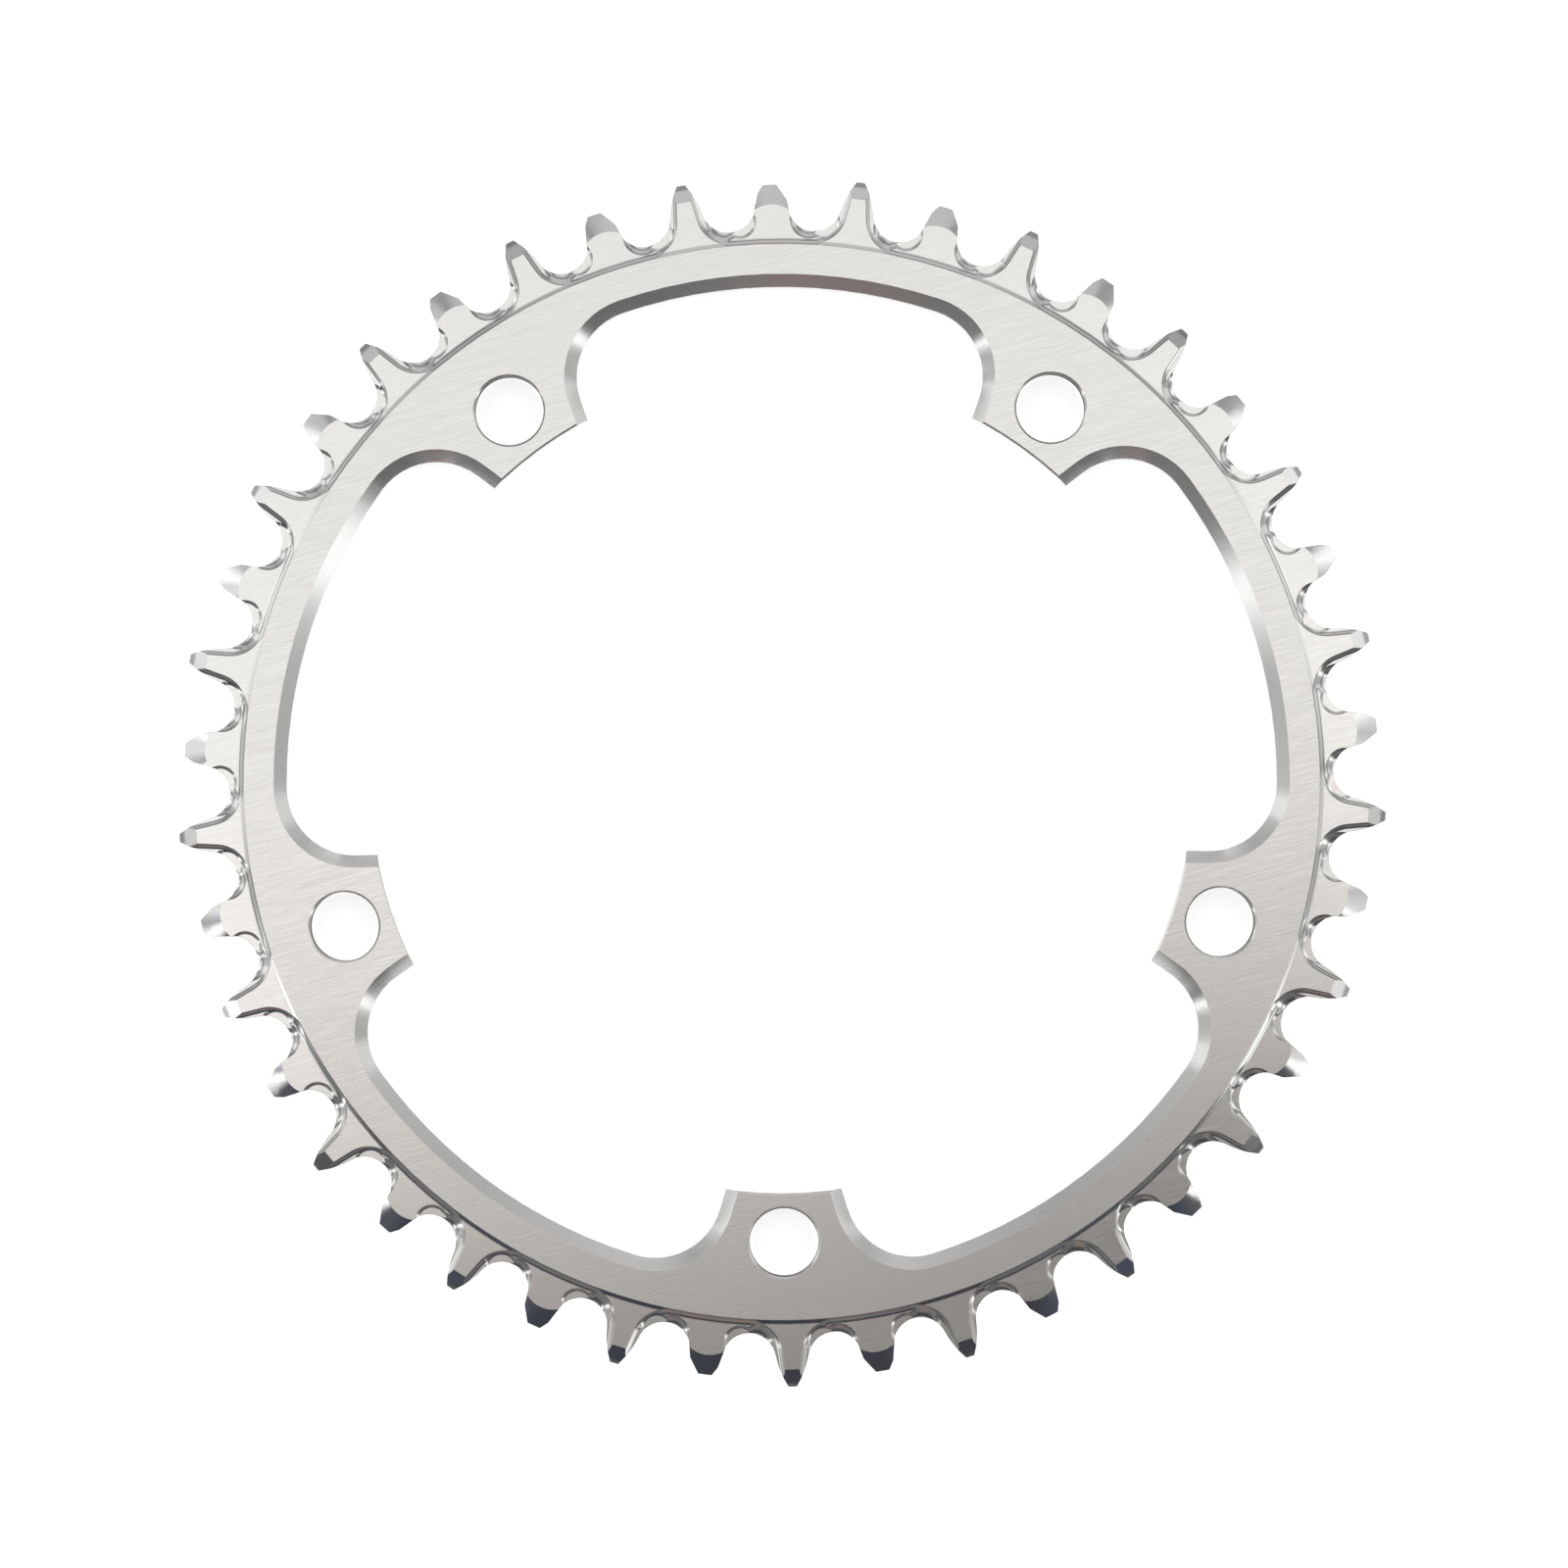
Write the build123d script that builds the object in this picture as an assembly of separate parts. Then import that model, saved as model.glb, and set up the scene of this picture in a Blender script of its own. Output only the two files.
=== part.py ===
from build123d import *
from math import cos, hypot, isclose, radians, sin, sqrt, tan
import os

# Single chainring with alternating narrow and wide teeth, machined from one plate.
# The back face lies on z = 0, the ring axis is Z, and one bolt hole points to -Y.
# Both faces are machined alike at the teeth; only the front face has the window bevel.

# Chain and teeth
chain_pitch = 12.7
tooth_count = 42
seat_radius = 3.97
tooth_clocking = 0.75

# Plate: the flat face ends below the pitch circle, and the windows end inside that edge
plate_thickness = 4.0
face_depth = 6.12
rim_width = 4.41
window_bevel = 1.78

# Tabs and bolt circle
tab_count = 5
bolt_circle = 135.0
bolt_hole_diameter = 10.1
tab_end_margin = 7.25
tab_end_width = 13.6
tab_side_angle = 17.0
window_corner_radius = 11.7

# Thickness of the two kinds of tooth, the slope of the pocket walls and of the shallow step to the wide teeth
wide_thickness = 3.5
narrow_thickness = 2.1
wall_slope = 45.0
step_slope = 22.0

# Wide tooth, as half widths beside the tooth's centre line and rises above the pitch circle
wide_tip_half, wide_tip_rise = 0.62, 3.78
wide_flank_half, wide_flank_rise = 1.8, 1.33
wide_seat_lean = 75.0
wide_bevel_rise, wide_bevel_slope = 1.13, 22.0

# Raised land left on each wide tooth, narrowing outwards
land_half = 1.2
land_lean = 8.0
land_corner_radius = 4.3

# Narrow tooth, whose leading corner is cut lower than its trailing one
narrow_tip_rise = 2.73
lead_tip_half = 0.8
lead_shoulder_half, lead_shoulder_rise = 2.3, 0.43
trail_tip_half = 1.2
trail_shoulder_half, trail_shoulder_rise = 2.0, 1.43
narrow_seat_lean = 60.0

# Rounded bevel of the narrow tooth's end, a cone about a point below the pitch circle
narrow_bevel_depth, narrow_bevel_radius = 4.63, 4.4
narrow_bevel_slope, narrow_bevel_arc = 15.0, 100.0

# How far cutters run past the faces and past the outline
above = 0.4
beyond = 4.0

# Worked out from the sizes above
pair_count = tooth_count // 2
tooth_step = 360 / tooth_count
pitch_radius = chain_pitch / 2 / sin(radians(tooth_step / 2))
face_radius = pitch_radius - face_depth
window_radius = face_radius - rim_width
tab_end_radius = bolt_circle / 2 - tab_end_margin
wide_tip_radius = pitch_radius + wide_tip_rise
narrow_tip_radius = pitch_radius + narrow_tip_rise
middle = plate_thickness / 2
wide_level = middle + wide_thickness / 2
narrow_level = middle + narrow_thickness / 2
wall_run = 1 / tan(radians(wall_slope))
step_run = 1 / tan(radians(step_slope))
wide_angles = [tooth_clocking - 90 + 2 * tooth_step * i for i in range(pair_count)]
narrow_angles = [angle + tooth_step for angle in wide_angles]
tab_angles = [-90 + 360 / tab_count * i for i in range(tab_count)]
window_angles = [angle + 180 / tab_count for angle in tab_angles]


def beside(angle, side, height):
    """Point beside the radial line at an angle: side is positive anticlockwise, height runs outwards."""
    a = radians(angle)
    return (height * cos(a) - side * sin(a), height * sin(a) + side * cos(a))


def on_tip(angle, radius, side):
    """Point where a circle about the ring axis is a given distance beside a radial line."""
    return beside(angle, side, sqrt(radius**2 - side**2))


def on_seat(gullet, lean):
    """Point on a gullet's roller seat, lean degrees anticlockwise of its deepest point."""
    side = seat_radius * sin(radians(lean))
    return beside(gullet, side, pitch_radius - seat_radius * cos(radians(lean)))


def seat(gullet, start_lean, end_lean):
    """Roller seat of one gullet, between the feet of its two teeth."""
    return ThreePointArc(on_seat(gullet, -start_lean), on_seat(gullet, 0), on_seat(gullet, end_lean))


def wide_outline(angle):
    """Edges round one wide tooth and the roller seat after it."""
    before, after = angle - tooth_step / 2, angle + tooth_step / 2
    feet = [on_seat(before, wide_seat_lean), on_seat(after, -wide_seat_lean)]
    flanks = [beside(angle, s * wide_flank_half, pitch_radius + wide_flank_rise) for s in (-1, 1)]
    tips = [on_tip(angle, wide_tip_radius, s * wide_tip_half) for s in (-1, 1)]
    return [
        ThreePointArc(feet[0], flanks[0], tips[0]),
        ThreePointArc(tips[0], on_tip(angle, wide_tip_radius, 0), tips[1]),
        ThreePointArc(tips[1], flanks[1], feet[1]),
        seat(after, wide_seat_lean, narrow_seat_lean),
    ]


def narrow_outline(angle):
    """Edges round one narrow tooth and the roller seat after it."""
    before, after = angle - tooth_step / 2, angle + tooth_step / 2
    lead_foot = on_seat(before, narrow_seat_lean)
    lead_shoulder = beside(angle, -lead_shoulder_half, pitch_radius + lead_shoulder_rise)
    lead_tip = on_tip(angle, narrow_tip_radius, -lead_tip_half)
    trail_tip = on_tip(angle, narrow_tip_radius, trail_tip_half)
    trail_shoulder = beside(angle, trail_shoulder_half, pitch_radius + trail_shoulder_rise)
    trail_foot = on_seat(after, -narrow_seat_lean)
    return [
        Line(lead_foot, lead_shoulder),
        Line(lead_shoulder, lead_tip),
        ThreePointArc(lead_tip, on_tip(angle, narrow_tip_radius, 0), trail_tip),
        Line(trail_tip, trail_shoulder),
        Line(trail_shoulder, trail_foot),
        seat(after, narrow_seat_lean, wide_seat_lean),
    ]


def window_outline():
    """Plan at the back face of a window centred on +X, whose corner fillets fit its sides along the two tabs."""
    half_turn = 180 / tab_count
    lean = tan(radians(tab_side_angle))
    foot = tab_end_width / 2 + window_bevel / cos(radians(tab_side_angle))
    inner, outer = tab_end_radius - beyond, window_radius / cos(radians(half_turn))
    inner_side, outer_side = [foot + (height - tab_end_radius) * lean for height in (inner, outer)]
    corners = [
        beside(-half_turn, inner_side, inner), beside(-half_turn, outer_side, outer),
        beside(half_turn, -outer_side, outer), beside(half_turn, -inner_side, inner),
    ]
    rim = Rot(0, 0, 180) * Circle(window_radius - window_bevel)
    plan = make_face(Polyline(*corners, close=True)) & rim
    ends = plan.vertices().sort_by(Axis.X)[-2:]
    side_length = plan.edges().filter_by(GeomType.LINE).sort_by(SortBy.LENGTH)[0].length
    return fillet(ends, min(window_corner_radius - window_bevel, side_length))


def turned(points, arc=360.0):
    """Solid turned about Z from a closed profile of radius and height, centred on +X."""
    profile = make_face(Polyline(*[(r, 0, z) for r, z in points], close=True))
    return revolve(Rot(0, 0, -arc / 2) * profile, Axis.Z, arc)


def rim_cutter():
    """Cutter that steps the plate down to the wide teeth's level and bevels their tips."""
    step = face_radius + (plate_thickness - wide_level) * step_run
    bevel_start, outside = pitch_radius + wide_bevel_rise, wide_tip_radius + beyond
    end_level = wide_level - (outside - bevel_start) * tan(radians(wide_bevel_slope))
    return turned([
        (face_radius - above * step_run, plate_thickness + above), (step, wide_level),
        (bevel_start, wide_level), (outside, end_level), (outside, plate_thickness + above),
    ])


def land_foot(height):
    """Half width of a wide tooth's land wall where it meets the narrow level."""
    drop = (wide_level - narrow_level) * wall_run
    return land_half + drop - (height - pitch_radius) * tan(radians(land_lean))


def narrow_pocket():
    """Cutter on +X that thins a narrow tooth and its gullets, up to the lands of the wide teeth beside it."""
    floor_radius = face_radius + (plate_thickness - narrow_level) * wall_run
    inner, outer = floor_radius - beyond, wide_tip_radius + beyond
    corners = [
        beside(-tooth_step, land_foot(inner), inner), beside(-tooth_step, land_foot(outer), outer),
        beside(tooth_step, -land_foot(outer), outer), beside(tooth_step, -land_foot(inner), inner),
    ]
    plan = make_face(Polyline(*corners, close=True)) - Rot(0, 0, 180) * Circle(floor_radius)
    nearest = plan.vertices().sort_by(Axis.X)[:2]
    plan = fillet(nearest, land_corner_radius)
    depth = plate_thickness + above - narrow_level
    return Pos(0, 0, narrow_level) * extrude(plan, depth, taper=-wall_slope)


def narrow_bevel():
    """Cutter on +X that slopes the end of a narrow tooth as a cone about a point near its root."""
    slope = tan(radians(narrow_bevel_slope))
    outside = narrow_bevel_radius + beyond
    sector = turned([
        (narrow_bevel_radius - above / slope, narrow_level + above), (outside, narrow_level - beyond * slope),
        (outside, narrow_level + above),
    ], narrow_bevel_arc)
    return Pos(pitch_radius - narrow_bevel_depth, 0, 0) * sector


def around(shape, angles):
    """Copies of a shape on +X, turned about the ring axis to each angle."""
    return [Rot(0, 0, angle) * shape for angle in angles]


outline = []
for angle in wide_angles:
    outline += wide_outline(angle) + narrow_outline(angle + tooth_step)
plan = make_face(outline) - Circle(tab_end_radius)
plan -= around(Pos(bolt_circle / 2, 0) * Circle(bolt_hole_diameter / 2), tab_angles)
plan -= around(window_outline(), window_angles)
plate = extrude(plan, plate_thickness)


def borders_window(edge):
    """Whether an edge of the front face runs round a window, not along a tab's end or a bolt hole."""
    x, y, z = edge @ 0.5
    holes = [beside(angle, 0, bolt_circle / 2) for angle in tab_angles]
    round_hole = any(isclose(hypot(x - hx, y - hy), bolt_hole_diameter / 2) for hx, hy in holes)
    along_end = isclose(hypot(x, y), tab_end_radius)
    return isclose(z, plate_thickness) and hypot(x, y) < face_radius and not along_end and not round_hole


plate = chamfer([edge for edge in plate.edges() if borders_window(edge)], window_bevel)

front_cutters = [rim_cutter()] + around(narrow_pocket(), narrow_angles) + around(narrow_bevel(), narrow_angles)
back_cutters = [mirror(cutter, about=Plane.XY.offset(middle)) for cutter in front_cutters]
chainring = plate - front_cutters - back_cutters
chainring.label = "chainring"

os.makedirs("parts", exist_ok=True)
export_step(chainring, "parts/chainring.step")
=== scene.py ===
import math

import bpy
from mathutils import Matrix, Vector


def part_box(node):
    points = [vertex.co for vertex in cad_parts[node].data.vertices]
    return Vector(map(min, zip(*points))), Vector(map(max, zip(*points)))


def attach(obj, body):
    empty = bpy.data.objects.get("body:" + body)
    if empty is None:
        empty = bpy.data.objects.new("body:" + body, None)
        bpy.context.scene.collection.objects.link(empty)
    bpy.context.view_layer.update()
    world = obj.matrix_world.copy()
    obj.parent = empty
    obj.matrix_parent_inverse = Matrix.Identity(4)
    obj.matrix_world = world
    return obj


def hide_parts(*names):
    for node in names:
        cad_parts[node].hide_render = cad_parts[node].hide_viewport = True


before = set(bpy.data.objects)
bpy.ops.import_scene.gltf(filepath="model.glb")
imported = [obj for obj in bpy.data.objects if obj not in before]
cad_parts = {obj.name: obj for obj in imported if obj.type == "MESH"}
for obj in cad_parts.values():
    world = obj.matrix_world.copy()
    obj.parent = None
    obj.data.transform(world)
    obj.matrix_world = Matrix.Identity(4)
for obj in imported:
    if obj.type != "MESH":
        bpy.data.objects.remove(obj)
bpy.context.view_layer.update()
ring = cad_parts["chainring"]

MM = 0.001

# Teeth: the pitch circle, and the levels of the plate, the wide teeth and the narrow teeth
CHAIN_PITCH = 12.7 * MM
TOOTH_COUNT = 42
TOOTH_CLOCKING = 0.75
TOOTH_STEP = 360 / TOOTH_COUNT
PITCH_RADIUS = CHAIN_PITCH / 2 / math.sin(math.radians(TOOTH_STEP / 2))
WIDE_THICKNESS = 3.5 * MM
NARROW_THICKNESS = 2.1 * MM
FACE_DEPTH = 6.12 * MM
PLATE_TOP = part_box("chainring")[1][2]
MIDDLE = PLATE_TOP / 2
WIDE_LEVEL = MIDDLE + WIDE_THICKNESS / 2
NARROW_LEVEL = MIDDLE + NARROW_THICKNESS / 2
FACE_RADIUS = PITCH_RADIUS - FACE_DEPTH
GULLET_ANGLES = [TOOTH_CLOCKING - 90 + TOOTH_STEP * (i + 0.5) for i in range(TOOTH_COUNT)]

# Crowned ends of the wide teeth, as rises above the pitch circle and heights above the middle of the plate
CROWN = [(-0.085, 2.343), (2.4, 1.237), (2.9, 1.014), (3.4, 0.76), (4.527, 0.0)]

# Bevel round the trailing side of each gullet, and crescent pocket at its leading side
GULLET_BEVEL = {"radius": 2.88 * MM, "inset": 2.27 * MM, "shift": 0.65 * MM, "slope": 28.0, "depth": 0.6 * MM}
CRESCENT = {"radius": 2.05 * MM, "inset": 2.6 * MM, "shift": -1.42 * MM, "slope": 45.0, "depth": 0.42 * MM}

# Broken edges of the bolt holes and of the tabs' ends
TAB_COUNT = 5
TAB_ANGLES = [-90 + 360 / TAB_COUNT * i for i in range(TAB_COUNT)]
BOLT_RADIUS = 67.5 * MM
BOLT_HOLE_RADIUS = 5.05 * MM
TAB_END_RADIUS = 60.25 * MM
EDGE_BREAK = 0.25 * MM

# How far cutters run past the faces, how many sides round ones have, and the distance that merges doubles
OVERRUN = 0.4 * MM
GULLET_SIDES, HOLE_SIDES, TAB_END_SIDES, CROWN_SIDES = 64, 96, 512, 1024
WELD = 0.001 * MM

# Upward parts of a normal that tell level faces, shallow bevels, crowned ends and upright walls apart, how far
# one may stray from a bevel's own, and the outward part that tells a tooth's end from its flanks
LEVEL, SHALLOW, CROWNED, UPRIGHT = 0.999, 0.9, 0.6, 0.1
TILT_MARGIN = 0.03
OUTWARD = 0.9

# Distances that are taken as none when a face's height or radius is looked up
HEIGHT_MARGIN = 0.01 * MM
STEP_MARGIN = 0.05 * MM
BORE_MARGIN = 0.1 * MM

# Where the shallow step ends and the teeth's ends begin, from the pitch circle, and the windows, from the face's edge
STEP_INSET = 4.0 * MM
TIP_RISE = 1.0 * MM
WINDOW_INSET = 1.0 * MM

# Greatest turns between faces that are shaded smooth: anywhere, and along the curved walls
SMOOTH_ANGLE = math.radians(12.0)
WALL_SMOOTH_ANGLE = math.radians(34.0)

# Camera straight above the ring
CAMERA_HEIGHT = 890 * MM
FRAME_WIDTH = 229.7 * MM
SENSOR_WIDTH = 36.0
RING_OFFSET = (-0.33 * MM, 0.29 * MM)
RING_ROLL = math.radians(0.29)

# The floor lies a hair below the back face, so that the two never flicker through each other
FLOOR_SIZE = 6.0
FLOOR_GAP = 0.03 * MM
FLOOR_GREY = 0.8
FLOOR_GLOW = 0.72

# Brushing on both faces: its direction, widths and lengths of streaks, the share of fine ones, and how they waver
BRUSH_ANGLE = math.radians(15.0)
FINE_STREAK = (0.12 * MM, 3.5 * MM)
COARSE_STREAK = (0.28 * MM, 9.0 * MM)
TOOL_LINE = (0.2 * MM, 3.0 * MM)
FINE_SHARE = 0.62
WAVER, WAVER_SCALE = 0.35 * MM, 220.0
LAYER_SCALE = 900.0
SCRATCH_DEPTH = 0.02 * MM
FACE_EDGE = 0.10 * MM

# Chatter marks round the shallow step
CHATTER_COUNT = 1160
CHATTER_DEPTH = 0.0009 * MM

# Sections of the pocket walls and of the shallow step, as shares of the way from foot to top and slopes in degrees
WALL_SECTION = [
    (0.0, 0), (0.08, 12), (0.20, 27), (0.27, 31), (0.40, 34), (0.48, 38.5), (0.64, 38.5), (0.71, 34), (1.0, 31.5),
]
STEP_SECTION = [(0.0, 0), (0.3, 15), (0.6, 23), (1.0, 27)]

# Studio, low down: panels, soft boxes and drapes all round, as directions in degrees and tones
LOW_PANELS = [
    (0, 0.40), (8, 0.68), (26, 0.70), (36, 0.48), (51, 0.42), (72, 0.54), (90, 0.52), (108, 0.48), (123, 0.37),
    (138, 0.44), (147, 0.50), (153, 0.85), (168, 0.85), (175, 0.54), (192, 0.43), (197, 0.66), (203, 1.30),
    (207, 0.52), (210, 0.20), (216, 0.16), (250, 0.14), (258, (0.18, 0.15, 0.143)), (270, (0.20, 0.157, 0.15)),
    (277, 0.15), (284, 0.12), (318, 0.13), (324, 0.27), (329, 1.12), (335.5, 1.17), (339.5, 0.60), (346, 0.44),
    (360, 0.40),
]

# Studio, half way up: the same, with a dark drape on the near side between two bright strips
HIGH_PANELS = [
    (0, 0.56), (14, 0.88), (22, 1.15), (31, 0.92), (40, 0.42), (57, 0.33), (66, 0.53), (82, 0.57), (100, 0.57),
    (112, 0.48), (125, 0.31), (134, 0.55), (144, 0.58), (151, 0.92), (160, 1.25), (168, 0.80), (180, 0.84),
    (194, 0.36), (200, 1.2), (207, 1.2), (213, 0.55), (217, 0.09), (228, (0.08, 0.09, 0.11)),
    (246, (0.05, 0.055, 0.07)), (285, (0.05, 0.052, 0.06)), (305, (0.065, 0.075, 0.10)), (320, 0.11), (324, 0.20),
    (327, 1.15), (336, 1.15), (338, 0.80), (360, 0.56),
]

# Studio, overhead: a bright tent that ends just past the zenith, as places from the far side to the near side
TENT_AXIS = (0.165, -0.986)
TENT = [
    (0.25, 0.56), (0.35, 0.70), (0.40, 0.78), (0.44, 0.84), (0.455, 0.90), (0.47, 0.95), (0.485, 0.96),
    (0.495, 1.05), (0.505, (1.24, 1.23, 1.21)), (0.517, (1.20, 1.18, 1.14)), (0.525, (0.72, 0.67, 0.63)),
    (0.533, (0.165, 0.135, 0.115)), (0.543, (0.11, 0.095, 0.085)), (0.556, (0.235, 0.225, 0.215)),
    (0.58, (0.25, 0.24, 0.24)), (0.61, 0.18), (0.65, 0.06),
]
TENT_EDGE = (0.24, 0.38)
PANEL_EDGE = (0.82, 0.995)

# Gaps between the high and the low panels on the far and the near side, and where the near side begins and ends
FAR_GAP = [(0.82, 1.0), (0.87, 0.52), (0.935, 0.52), (0.968, 1.0)]
NEAR_GAP = [(0.82, 1.0), (0.87, 0.85), (0.94, 0.85), (0.962, 1.25), (0.980, 1.25), (0.993, 1.0)]
NEAR_SIDE = [(0.59, 0.0), (0.605, 1.0), (0.89, 1.0), (0.905, 0.0)]

# A small flag in front of the tent, as its direction and its shade by distance from that direction
FLAG_DIRECTION = (0.0585, -0.0555, 0.997)
FLAG_SHADE = [(0.0, 0.0), (0.02, 0.15), (0.043, 1.0)]


def only(obj):
    """Selects one object and makes it active."""
    bpy.ops.object.select_all(action="DESELECT")
    obj.select_set(True)
    bpy.context.view_layer.objects.active = obj


def joined(parts):
    """Joins several objects into the first, with their places applied to the mesh."""
    bpy.ops.object.select_all(action="DESELECT")
    for part in parts:
        part.select_set(True)
    bpy.context.view_layer.objects.active = parts[0]
    bpy.ops.object.join()
    bpy.ops.object.transform_apply(location=True, rotation=True, scale=True)
    return bpy.context.object


def add_cone(low_radius, high_radius, low, high, place, sides):
    """Frustum about a vertical axis, between two heights."""
    x, y = place
    bpy.ops.mesh.primitive_cone_add(
        vertices=sides, radius1=low_radius, radius2=high_radius, depth=high - low, location=(x, y, (low + high) / 2)
    )
    bpy.ops.object.transform_apply(location=True, rotation=True, scale=True)
    return bpy.context.object


def add_turned(profile, sides):
    """Solid turned about the ring's axis, from its lowest radius and height to its highest."""
    radius, height = profile[0]
    bpy.ops.mesh.primitive_circle_add(vertices=sides, radius=radius, fill_type="NGON", location=(0, 0, height))
    bpy.ops.object.transform_apply(location=True, rotation=True, scale=True)
    bpy.ops.object.mode_set(mode="EDIT")
    bpy.ops.mesh.select_all(action="SELECT")
    for next_radius, next_height in profile[1:]:
        bpy.ops.mesh.extrude_region_move(TRANSFORM_OT_translate={"value": (0, 0, next_height - height)})
        growth = next_radius / radius
        bpy.ops.transform.resize(value=(growth, growth, 1), center_override=(0, 0, next_height))
        radius, height = next_radius, next_height
    bpy.ops.mesh.select_all(action="SELECT")
    bpy.ops.mesh.normals_make_consistent(inside=False)
    bpy.ops.object.mode_set(mode="OBJECT")
    return bpy.context.object


def copies_round(cutter, angles):
    """Copies of a cutter on +X, turned about the ring's axis, each with its own mesh."""
    parts = []
    for angle in angles:
        part = cutter.copy()
        part.data = cutter.data.copy()
        part.rotation_euler.z = math.radians(angle)
        bpy.context.collection.objects.link(part)
        parts.append(part)
    bpy.data.objects.remove(cutter)
    return parts


def cut(piece, cutter, operation="DIFFERENCE"):
    """Takes a cutter away from a piece, or keeps only what lies in it, and deletes the cutter."""
    only(piece)
    bpy.ops.object.modifier_add(type="BOOLEAN")
    boolean = piece.modifiers[-1]
    boolean.operation = operation
    boolean.solver = "MANIFOLD"
    boolean.object = cutter
    bpy.ops.object.modifier_apply(modifier=boolean.name)
    bpy.data.objects.remove(cutter)


def gullet_cutters(form):
    """Cutters for one kind of recess in every gullet, on both faces."""
    floor_depth, slope = form["depth"], math.tan(math.radians(form["slope"]))
    height = floor_depth + OVERRUN
    low_radius = form["radius"] - (floor_depth / slope if form is GULLET_BEVEL else 0)
    high_radius = low_radius + height / slope
    place = (PITCH_RADIUS - form["inset"], form["shift"])
    floor = NARROW_LEVEL - floor_depth
    front = add_cone(low_radius, high_radius, floor, floor + height, place, GULLET_SIDES)
    ceiling = 2 * MIDDLE - floor
    back = add_cone(high_radius, low_radius, ceiling - height, ceiling, place, GULLET_SIDES)
    return joined(copies_round(front, GULLET_ANGLES) + copies_round(back, GULLET_ANGLES))


def crown_envelope():
    """Solid that holds the whole ring but rounds off the ends of its wide teeth."""
    upper = [(PITCH_RADIUS + rise * MM, MIDDLE + height * MM) for rise, height in CROWN]
    lower = [(radius, 2 * MIDDLE - height) for radius, height in upper[:-1]]
    return add_turned(lower + upper[::-1], CROWN_SIDES)


def edge_cutters():
    """Cutters that break the edges of the bolt holes and of the tabs' ends, on both faces."""
    parts = []
    for radius, centre, sides in ((BOLT_HOLE_RADIUS, BOLT_RADIUS, HOLE_SIDES), (TAB_END_RADIUS, 0, TAB_END_SIDES)):
        high_radius = radius + EDGE_BREAK + OVERRUN
        low_radius = radius - EDGE_BREAK
        reach = high_radius - low_radius - OVERRUN
        place = (centre, 0)
        front = add_cone(low_radius, high_radius, PLATE_TOP - reach, PLATE_TOP + OVERRUN, place, sides)
        back = add_cone(high_radius, low_radius, -OVERRUN, reach, place, sides)
        angles = TAB_ANGLES if centre else [0]
        parts += copies_round(front, angles) + copies_round(back, angles)
    return joined(parts)


def add_finished_ring():
    """The ring with its wide teeth crowned, and its gullet bevels, crescent pockets and broken edges cut."""
    only(ring)
    bpy.ops.object.duplicate()
    piece = bpy.context.object
    piece.name = "finished_chainring"
    bpy.ops.object.mode_set(mode="EDIT")
    bpy.ops.mesh.select_all(action="SELECT")
    bpy.ops.mesh.remove_doubles(threshold=WELD)
    bpy.ops.object.mode_set(mode="OBJECT")
    bpy.ops.mesh.customdata_custom_splitnormals_clear()
    cut(piece, crown_envelope(), "INTERSECT")
    cut(piece, gullet_cutters(GULLET_BEVEL))
    cut(piece, gullet_cutters(CRESCENT))
    cut(piece, edge_cutters())
    only(piece)
    bpy.ops.object.shade_smooth_by_angle(angle=SMOOTH_ANGLE)
    smooth_walls(piece)
    mark_rise(piece)
    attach(piece, "root")
    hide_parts("chainring")
    return piece


def smooth_walls(piece):
    """Shades the curved walls smooth along their length, where their facets turn more than a flat face may."""
    mesh = piece.data
    meeting = {}
    for face in mesh.polygons:
        if abs(face.normal.z) < SHALLOW:
            for key in face.edge_keys:
                meeting.setdefault(key, []).append(face.normal)
    for edge in mesh.edges:
        normals = meeting.get(edge.key, [])
        if len(normals) == 2 and normals[0].angle(normals[1]) < WALL_SMOOTH_ANGLE:
            edge.use_edge_sharp = False


def mark_rise(piece):
    """Stores how far up its wall each corner of the mesh lies, from 0 at the foot to 1 at the top edge."""
    mesh = piece.data
    rise = mesh.attributes.new("rise", "FLOAT", "CORNER")
    bevel_tilt = math.cos(math.radians(GULLET_BEVEL["slope"]))
    for face in mesh.polygons:
        heights = [MIDDLE + abs(mesh.vertices[i].co.z - MIDDLE) for i in face.vertices]
        if abs(abs(face.normal.z) - bevel_tilt) < TILT_MARGIN:
            foot, top = NARROW_LEVEL - GULLET_BEVEL["depth"], NARROW_LEVEL
        elif max(heights) < NARROW_LEVEL + HEIGHT_MARGIN:
            foot, top = NARROW_LEVEL - CRESCENT["depth"], NARROW_LEVEL
        elif min(heights) > WIDE_LEVEL - HEIGHT_MARGIN:
            foot, top = WIDE_LEVEL, PLATE_TOP
        else:
            foot = NARROW_LEVEL
            top = PLATE_TOP if max(heights) > WIDE_LEVEL + STEP_MARGIN else WIDE_LEVEL
        for corner, height in zip(face.loop_indices, heights):
            rise.data[corner].value = min(max((height - foot) / (top - foot), 0.0), 1.0)


def is_bored(centre):
    """Whether an upright wall belongs to a bolt hole."""
    holes = [(BOLT_RADIUS * math.cos(math.radians(a)), BOLT_RADIUS * math.sin(math.radians(a))) for a in TAB_ANGLES]
    return min(math.dist(centre[:2], hole) for hole in holes) < BOLT_HOLE_RADIUS + BORE_MARGIN


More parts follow.
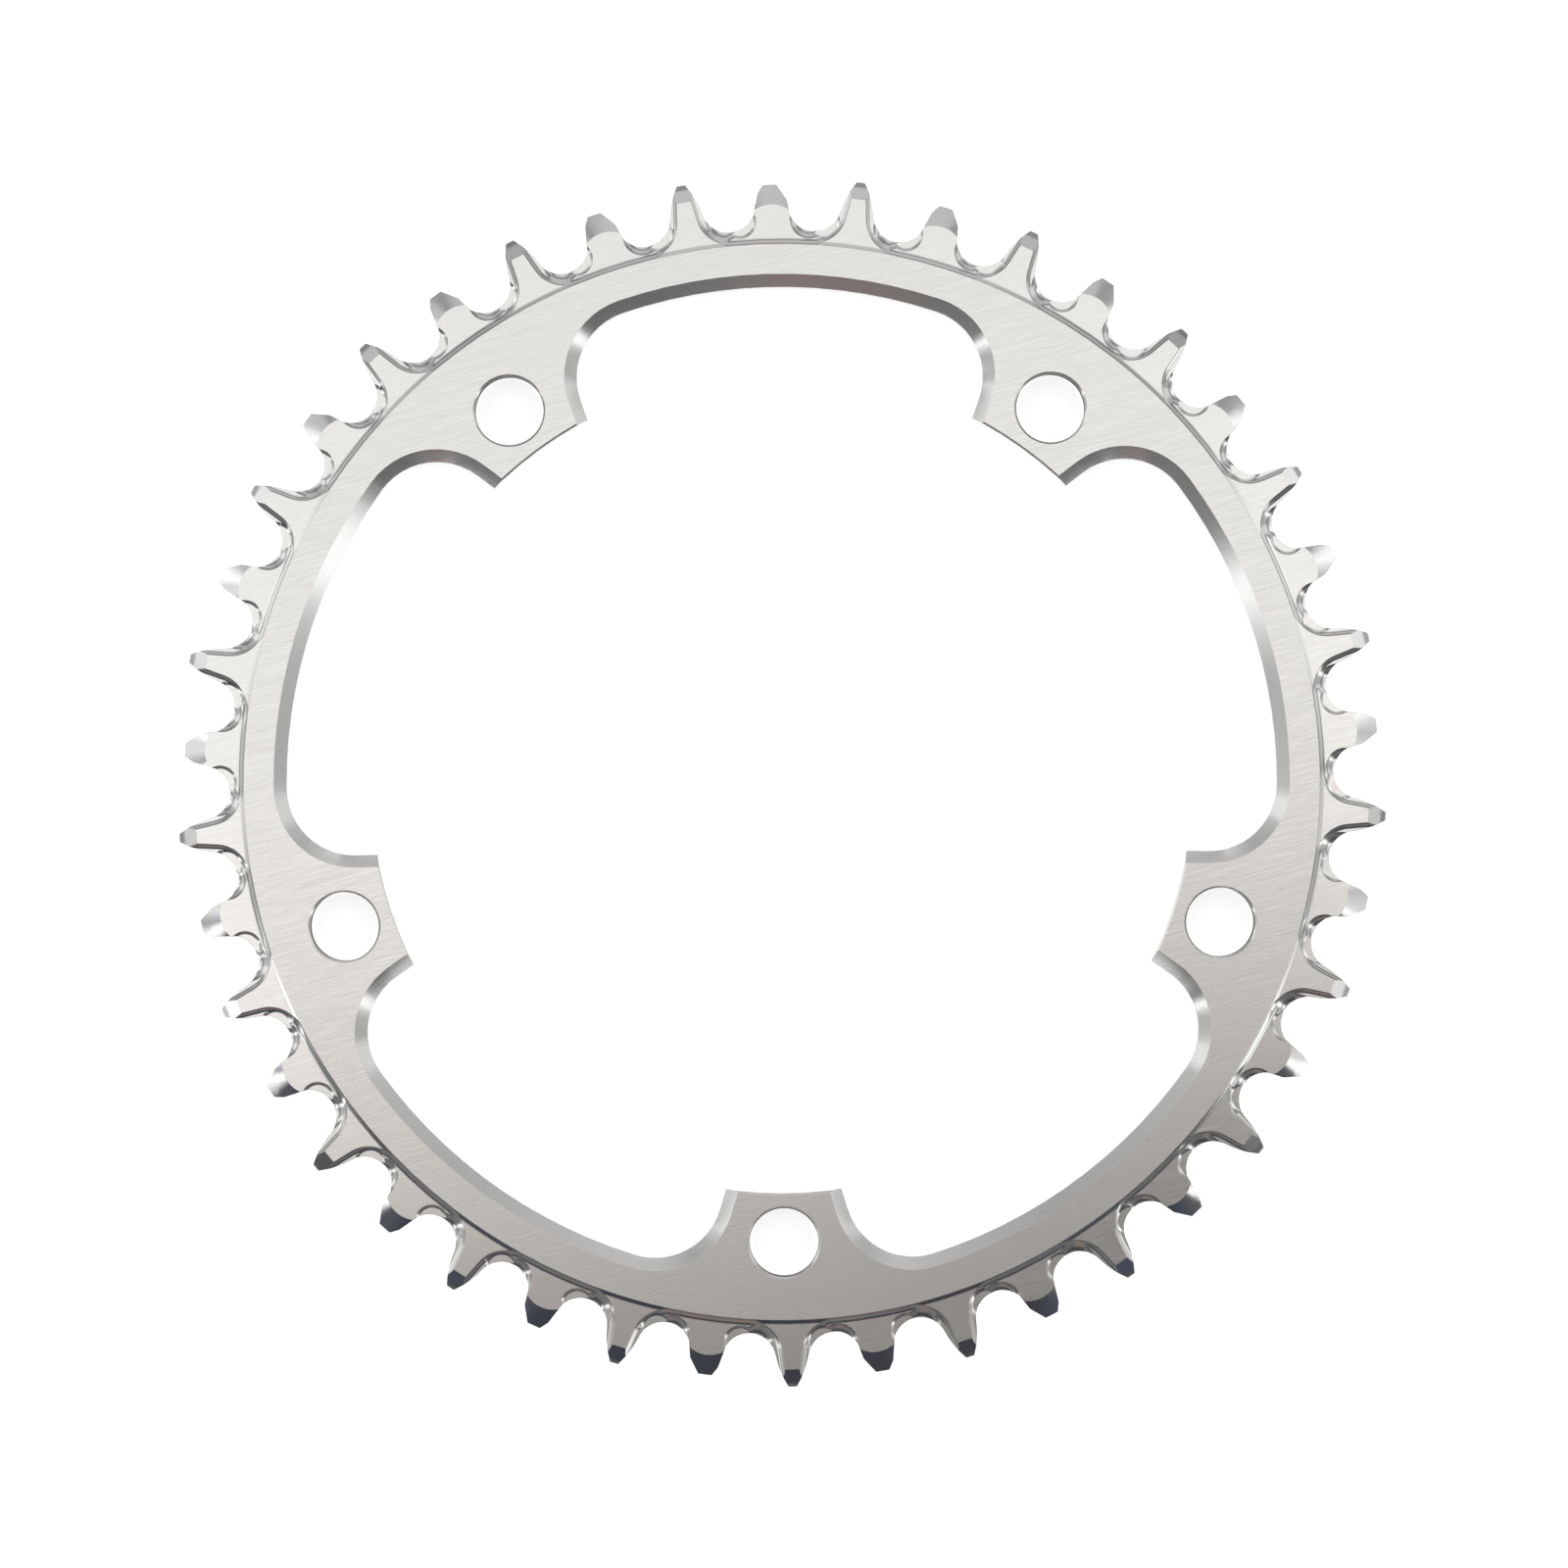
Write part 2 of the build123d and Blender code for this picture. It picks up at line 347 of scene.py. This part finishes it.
def finish_faces(piece, materials):
    """Gives each face the finish of its cut."""
    piece.data.materials.clear()
    names = list(materials)
    for name in names:
        piece.data.materials.append(materials[name])
    for face in piece.data.polygons:
        tilt = abs(face.normal.z)
        height = MIDDLE + abs(face.center.z - MIDDLE)
        radius = math.hypot(face.center.x, face.center.y)
        spread = radius * max(math.hypot(face.normal.x, face.normal.y), 0.001)
        outward = (face.center.x * face.normal.x + face.center.y * face.normal.y) / spread
        if tilt > LEVEL:
            finish = "plate" if height > PLATE_TOP - 2 * HEIGHT_MARGIN else "land"
        elif tilt > SHALLOW and radius < PITCH_RADIUS - STEP_INSET:
            finish = "step"
        elif tilt > SHALLOW or (tilt > CROWNED and outward > OUTWARD and radius > PITCH_RADIUS + TIP_RISE):
            finish = "tip"
        elif tilt < UPRIGHT:
            finish = "bore" if is_bored(face.center) else "side"
        elif radius < FACE_RADIUS - WINDOW_INSET:
            finish = "window"
        else:
            finish = "wall"
        face.material_index = names.index(finish)


def add_camera():
    """Camera that looks straight down, with the ring a little off the middle of the frame."""
    x, y = RING_OFFSET
    bpy.ops.object.camera_add(location=(-x, -y, PLATE_TOP + CAMERA_HEIGHT), rotation=(0, 0, -RING_ROLL))
    camera = bpy.context.object
    camera.name = "overhead_camera"
    camera.data.sensor_width = SENSOR_WIDTH
    camera.data.lens = SENSOR_WIDTH * CAMERA_HEIGHT / FRAME_WIDTH
    camera.data.clip_start = 0.01
    camera.data.clip_end = 20.0
    bpy.context.scene.camera = camera


def new_material(name):
    """Node material, its nodes and links, and its shader."""
    material = bpy.data.materials.new(name)
    material.use_nodes = True
    tree = material.node_tree
    return material, tree, tree.nodes["Principled BSDF"]


def math_node(tree, operation, first, second=None, third=None):
    """Math node whose inputs are sockets or numbers."""
    node = tree.nodes.new("ShaderNodeMath")
    node.operation = operation
    for socket, value in zip(node.inputs, (first, second, third)):
        if isinstance(value, (int, float)):
            socket.default_value = value
        elif value is not None:
            tree.links.new(value, socket)
    return node.outputs[0]


def tone_ramp(tree, factor, stops, interpolation="EASE"):
    """Colour ramp through grey or coloured stops, each a place and a value or colour."""
    node = tree.nodes.new("ShaderNodeValToRGB")
    node.color_ramp.interpolation = interpolation
    elements = node.color_ramp.elements
    while len(elements) < len(stops):
        elements.new(0.5)
    for element, (place, tone) in zip(elements, stops):
        element.position = place
        element.color = (tone, tone, tone, 1) if isinstance(tone, float) else (*tone, 1)
    tree.links.new(factor, node.inputs["Fac"])
    return node.outputs["Color"]


def add_floor():
    """White floor that stays white to the camera and in reflections, but keeps the ring's soft shadow."""
    bpy.ops.mesh.primitive_plane_add(size=FLOOR_SIZE, location=(0, 0, -FLOOR_GAP))
    bpy.ops.object.transform_apply(location=True, rotation=True, scale=True)
    floor = bpy.context.object
    floor.name = "studio_floor"
    material, tree, shader = new_material("white_studio_floor")
    shader.inputs["Base Color"].default_value = (FLOOR_GREY, FLOOR_GREY, FLOOR_GREY, 1)
    shader.inputs["Roughness"].default_value = 0.9
    shader.inputs["Specular IOR Level"].default_value = 0.0
    glow = tree.nodes.new("ShaderNodeEmission")
    glow.inputs["Strength"].default_value = FLOOR_GLOW
    both = tree.nodes.new("ShaderNodeAddShader")
    tree.links.new(shader.outputs[0], both.inputs[0])
    tree.links.new(glow.outputs[0], both.inputs[1])
    path = tree.nodes.new("ShaderNodeLightPath")
    seen = math_node(tree, "MAXIMUM", path.outputs["Is Camera Ray"], path.outputs["Is Transmission Ray"])
    seen = math_node(tree, "MAXIMUM", seen, path.outputs["Is Glossy Ray"])
    pick = tree.nodes.new("ShaderNodeMixShader")
    tree.links.new(seen, pick.inputs[0])
    tree.links.new(shader.outputs[0], pick.inputs[1])
    tree.links.new(both.outputs[0], pick.inputs[2])
    tree.links.new(pick.outputs[0], tree.nodes["Material Output"].inputs["Surface"])
    floor.data.materials.append(material)


def add_studio():
    """World light: a bright tent overhead, high and low panels round it with a gap between them, and a small flag."""
    world = bpy.data.worlds.new("soft_studio")
    bpy.context.scene.world = world
    world.use_nodes = True
    tree = world.node_tree
    place = tree.nodes.new("ShaderNodeTexCoord")
    split = tree.nodes.new("ShaderNodeSeparateXYZ")
    tree.links.new(place.outputs["Generated"], split.inputs[0])
    x, y, z = split.outputs
    turn = math_node(tree, "ARCTAN2", y, x)
    turn = math_node(tree, "DIVIDE", turn, 2 * math.pi)
    turn = math_node(tree, "FRACT", turn)
    horizon = tone_ramp(tree, turn, [(degrees / 360, tone) for degrees, tone in LOW_PANELS], "LINEAR")
    sides = tone_ramp(tree, turn, [(degrees / 360, tone) for degrees, tone in HIGH_PANELS], "LINEAR")
    near = math_node(tree, "MULTIPLY", x, TENT_AXIS[0])
    near = math_node(tree, "ADD", near, math_node(tree, "MULTIPLY", y, TENT_AXIS[1]))
    near = math_node(tree, "MULTIPLY_ADD", near, 0.5, 0.5)
    overhead = tone_ramp(tree, near, TENT, "LINEAR")
    flat = math_node(tree, "MULTIPLY", z, z)
    tilt = math_node(tree, "SQRT", math_node(tree, "MAXIMUM", math_node(tree, "SUBTRACT", 1.0, flat), 0.0))
    upper = tone_mix(tree, tilt, *TENT_EDGE, overhead, sides)
    light = tone_mix(tree, tilt, *PANEL_EDGE, upper, horizon)
    far_gap = tone_ramp(tree, tilt, FAR_GAP, "LINEAR")
    near_gap = tone_ramp(tree, tilt, NEAR_GAP, "LINEAR")
    near_side = tone_ramp(tree, turn, NEAR_SIDE, "LINEAR")
    gap = tone_mix(tree, near_side, 0.0, 1.0, far_gap, near_gap)
    flag = tree.nodes.new("ShaderNodeVectorMath")
    flag.operation = "DISTANCE"
    flag.inputs[1].default_value = FLAG_DIRECTION
    tree.links.new(place.outputs["Generated"], flag.inputs[0])
    shade = tone_ramp(tree, flag.outputs["Value"], FLAG_SHADE, "LINEAR")
    for factor in (gap, shade):
        product = tree.nodes.new("ShaderNodeVectorMath")
        product.operation = "MULTIPLY"
        tree.links.new(light, product.inputs[0])
        tree.links.new(factor, product.inputs[1])
        light = product.outputs[0]
    tree.links.new(light, tree.nodes["Background"].inputs["Color"])


def tone_mix(tree, factor, low, high, first, second):
    """Blends smoothly from one colour to another as the factor goes from low to high."""
    blend = tree.nodes.new("ShaderNodeMapRange")
    blend.interpolation_type = "SMOOTHSTEP"
    blend.inputs["From Min"].default_value = low
    blend.inputs["From Max"].default_value = high
    tree.links.new(factor, blend.inputs["Value"])
    mix = tree.nodes.new("ShaderNodeMix")
    mix.data_type = "RGBA"
    tree.links.new(blend.outputs["Result"], mix.inputs["Factor"])
    tree.links.new(first, mix.inputs["A"])
    tree.links.new(second, mix.inputs["B"])
    return mix.outputs["Result"]


def brush_group():
    """Node group: fine scratches along one direction of Object coordinates."""
    group = bpy.data.node_groups.new("brush_lines", "ShaderNodeTree")
    for name, value in (("Angle", BRUSH_ANGLE), ("Width", FINE_STREAK[0]), ("Length", FINE_STREAK[1])):
        socket = group.interface.new_socket(name, in_out="INPUT", socket_type="NodeSocketFloat")
        socket.default_value = value
    group.interface.new_socket("Lines", in_out="OUTPUT", socket_type="NodeSocketFloat")
    inside = group.nodes.new("NodeGroupInput")
    outside = group.nodes.new("NodeGroupOutput")
    place = group.nodes.new("ShaderNodeTexCoord")
    turn = group.nodes.new("ShaderNodeVectorRotate")
    turn.rotation_type = "Z_AXIS"
    group.links.new(place.outputs["Object"], turn.inputs["Vector"])
    group.links.new(math_node(group, "MULTIPLY", inside.outputs["Angle"], -1.0), turn.inputs["Angle"])
    split = group.nodes.new("ShaderNodeSeparateXYZ")
    group.links.new(turn.outputs["Vector"], split.inputs[0])
    along = math_node(group, "DIVIDE", split.outputs[0], inside.outputs["Length"])
    waver = group.nodes.new("ShaderNodeTexNoise")
    waver.inputs["Scale"].default_value = WAVER_SCALE
    waver.inputs["Detail"].default_value = 1.0
    group.links.new(place.outputs["Object"], waver.inputs["Vector"])
    sway = math_node(group, "MULTIPLY", math_node(group, "SUBTRACT", waver.outputs["Fac"], 0.5), WAVER)
    across = math_node(group, "DIVIDE", math_node(group, "ADD", split.outputs[1], sway), inside.outputs["Width"])
    layer = math_node(group, "MULTIPLY", split.outputs[2], LAYER_SCALE)
    joint = group.nodes.new("ShaderNodeCombineXYZ")
    for socket, value in zip(joint.inputs, (along, across, layer)):
        group.links.new(value, socket)
    noise = group.nodes.new("ShaderNodeTexNoise")
    noise.inputs["Scale"].default_value = 1.0
    noise.inputs["Detail"].default_value = 2.0
    noise.inputs["Roughness"].default_value = 0.6
    group.links.new(joint.outputs[0], noise.inputs["Vector"])
    group.links.new(noise.outputs["Fac"], outside.inputs["Lines"])
    return group


def add_streaks(tree, group, streak):
    """Places the node group of scratches in a material, for streaks of one width and length."""
    node = tree.nodes.new("ShaderNodeGroup")
    node.node_tree = group
    node.inputs["Width"].default_value, node.inputs["Length"].default_value = streak
    return node.outputs["Lines"]


def brushed(name, group, colour, roughness, contrast, bump, anisotropy):
    """Brushed metal: streaks vary its tone, its gloss and its surface."""
    material, tree, shader = new_material(name)
    shader.inputs["Metallic"].default_value = 1.0
    shader.inputs["Anisotropic"].default_value = anisotropy
    fine = add_streaks(tree, group, FINE_STREAK)
    coarse = add_streaks(tree, group, COARSE_STREAK)
    lines = math_node(tree, "MULTIPLY", math_node(tree, "SUBTRACT", fine, coarse), FINE_SHARE)
    lines = math_node(tree, "ADD", lines, coarse)
    low = tuple(channel * (1 - contrast) for channel in colour)
    high = tuple(min(channel * (1 + contrast), 1.0) for channel in colour)
    tree.links.new(tone_ramp(tree, lines, [(0.3, low), (0.7, high)], "LINEAR"), shader.inputs["Base Color"])
    gloss = tone_ramp(tree, lines, [(0.3, roughness * 1.15), (0.7, roughness * 0.85)], "LINEAR")
    tree.links.new(gloss, shader.inputs["Roughness"])
    relief = tree.nodes.new("ShaderNodeBump")
    relief.inputs["Strength"].default_value = bump
    relief.inputs["Distance"].default_value = SCRATCH_DEPTH
    tree.links.new(lines, relief.inputs["Height"])
    tree.links.new(rounded_edges(tree, FACE_EDGE), relief.inputs["Normal"])
    tree.links.new(relief.outputs["Normal"], shader.inputs["Normal"])
    across = tree.nodes.new("ShaderNodeCombineXYZ")
    across.inputs[0].default_value = -math.sin(BRUSH_ANGLE)
    across.inputs[1].default_value = math.cos(BRUSH_ANGLE)
    tree.links.new(across.outputs[0], shader.inputs["Tangent"])
    return material


def rounded_edges(tree, radius):
    """Normal that rounds sharp edges by a small radius."""
    node = tree.nodes.new("ShaderNodeBevel")
    node.samples = 4
    node.inputs["Radius"].default_value = radius
    return node.outputs["Normal"]


def slope_group():
    """Node group: normal of a wall that leans as its face does, but by a given slope."""
    group = bpy.data.node_groups.new("wall_slope", "ShaderNodeTree")
    group.interface.new_socket("Slope", in_out="INPUT", socket_type="NodeSocketFloat")
    group.interface.new_socket("Normal", in_out="OUTPUT", socket_type="NodeSocketVector")
    inside = group.nodes.new("NodeGroupInput")
    outside = group.nodes.new("NodeGroupOutput")
    slope = inside.outputs["Slope"]
    surface = group.nodes.new("ShaderNodeNewGeometry")
    split = group.nodes.new("ShaderNodeSeparateXYZ")
    group.links.new(surface.outputs["Normal"], split.inputs[0])
    level = group.nodes.new("ShaderNodeCombineXYZ")
    group.links.new(split.outputs[0], level.inputs[0])
    group.links.new(split.outputs[1], level.inputs[1])
    outwards = group.nodes.new("ShaderNodeVectorMath")
    outwards.operation = "NORMALIZE"
    group.links.new(level.outputs[0], outwards.inputs[0])
    across = group.nodes.new("ShaderNodeVectorMath")
    across.operation = "SCALE"
    group.links.new(outwards.outputs[0], across.inputs[0])
    group.links.new(math_node(group, "SINE", slope), across.inputs["Scale"])
    upright = group.nodes.new("ShaderNodeCombineXYZ")
    facing = math_node(group, "SIGN", split.outputs[2])
    group.links.new(math_node(group, "MULTIPLY", math_node(group, "COSINE", slope), facing), upright.inputs[2])
    total = group.nodes.new("ShaderNodeVectorMath")
    total.operation = "ADD"
    group.links.new(across.outputs[0], total.inputs[0])
    group.links.new(upright.outputs[0], total.inputs[1])
    group.links.new(total.outputs[0], outside.inputs["Normal"])
    return group


def turned_wall(name, group, section, colour, roughness, chatter=0.0):
    """Polished wall whose section rolls over from its foot to its top, with chatter marks where they are wanted."""
    material, tree, shader = new_material(name)
    shader.inputs["Metallic"].default_value = 1.0
    shader.inputs["Base Color"].default_value = (*colour, 1)
    shader.inputs["Roughness"].default_value = roughness
    rise = tree.nodes.new("ShaderNodeAttribute")
    rise.attribute_name = "rise"
    slopes = tone_ramp(tree, rise.outputs["Fac"], [(place, degrees / 90) for place, degrees in section], "LINEAR")
    wall = tree.nodes.new("ShaderNodeGroup")
    wall.node_tree = group
    tree.links.new(math_node(tree, "MULTIPLY", slopes, math.pi / 2), wall.inputs["Slope"])
    normal = wall.outputs["Normal"]
    if chatter:
        place = tree.nodes.new("ShaderNodeTexCoord")
        split = tree.nodes.new("ShaderNodeSeparateXYZ")
        tree.links.new(place.outputs["Object"], split.inputs[0])
        turn = math_node(tree, "ARCTAN2", split.outputs[1], split.outputs[0])
        marks = math_node(tree, "SINE", math_node(tree, "MULTIPLY", turn, CHATTER_COUNT))
        relief = tree.nodes.new("ShaderNodeBump")
        relief.inputs["Strength"].default_value = 1.0
        relief.inputs["Distance"].default_value = chatter
        tree.links.new(marks, relief.inputs["Height"])
        tree.links.new(normal, relief.inputs["Normal"])
        normal = relief.outputs["Normal"]
    tree.links.new(normal, shader.inputs["Normal"])
    return material


def polished_cut(name, group, colour, roughness, radius, bump, grazing=1.0):
    """Bright cut metal with fine tool lines and softly rounded edges; a grazing value below 1 dims its reflection at
    a grazing angle, which paints shade.
    """
    material, tree, shader = new_material(name)
    shader.inputs["Metallic"].default_value = 1.0
    shader.inputs["Base Color"].default_value = (*colour, 1)
    shader.inputs["Roughness"].default_value = roughness
    shader.inputs["Specular Tint"].default_value = (grazing, grazing, grazing, 1)
    relief = tree.nodes.new("ShaderNodeBump")
    relief.inputs["Strength"].default_value = bump
    relief.inputs["Distance"].default_value = SCRATCH_DEPTH
    tree.links.new(add_streaks(tree, group, TOOL_LINE), relief.inputs["Height"])
    tree.links.new(rounded_edges(tree, radius), relief.inputs["Normal"])
    tree.links.new(relief.outputs["Normal"], shader.inputs["Normal"])
    return material


add_camera()
add_floor()
add_studio()
finished = add_finished_ring()
streaks = brush_group()
lean = slope_group()
finish_faces(finished, {
    "plate": brushed("brushed_plate", streaks, (0.88, 0.865, 0.835), 0.17, 0.06, 0.14, 0.2),
    "land": brushed("milled_land", streaks, (0.90, 0.885, 0.86), 0.14, 0.03, 0.06, 0.1),
    "tip": brushed("tip_bevel", streaks, (0.88, 0.88, 0.88), 0.09, 0.03, 0.08, 0.1),
    "window": polished_cut("window_bevel", streaks, (0.90, 0.90, 0.89), 0.14, 0.08 * MM, 0.1),
    "side": polished_cut("cut_side", streaks, (0.88, 0.875, 0.86), 0.22, 0.08 * MM, 0.2),
    # The bore's dark base colour and its low grazing tint are painted shade on the walls inside the bolt holes.
    "bore": polished_cut("bore_painted_shade", streaks, (0.45, 0.45, 0.44), 0.28, 0.05 * MM, 0.2, grazing=0.15),
    "wall": turned_wall("pocket_wall", lean, WALL_SECTION, (0.92, 0.92, 0.91), 0.08),
    "step": turned_wall("shallow_step", lean, STEP_SECTION, (0.90, 0.89, 0.87), 0.12, CHATTER_DEPTH),
})

bpy.context.scene.view_settings.view_transform = "Standard"
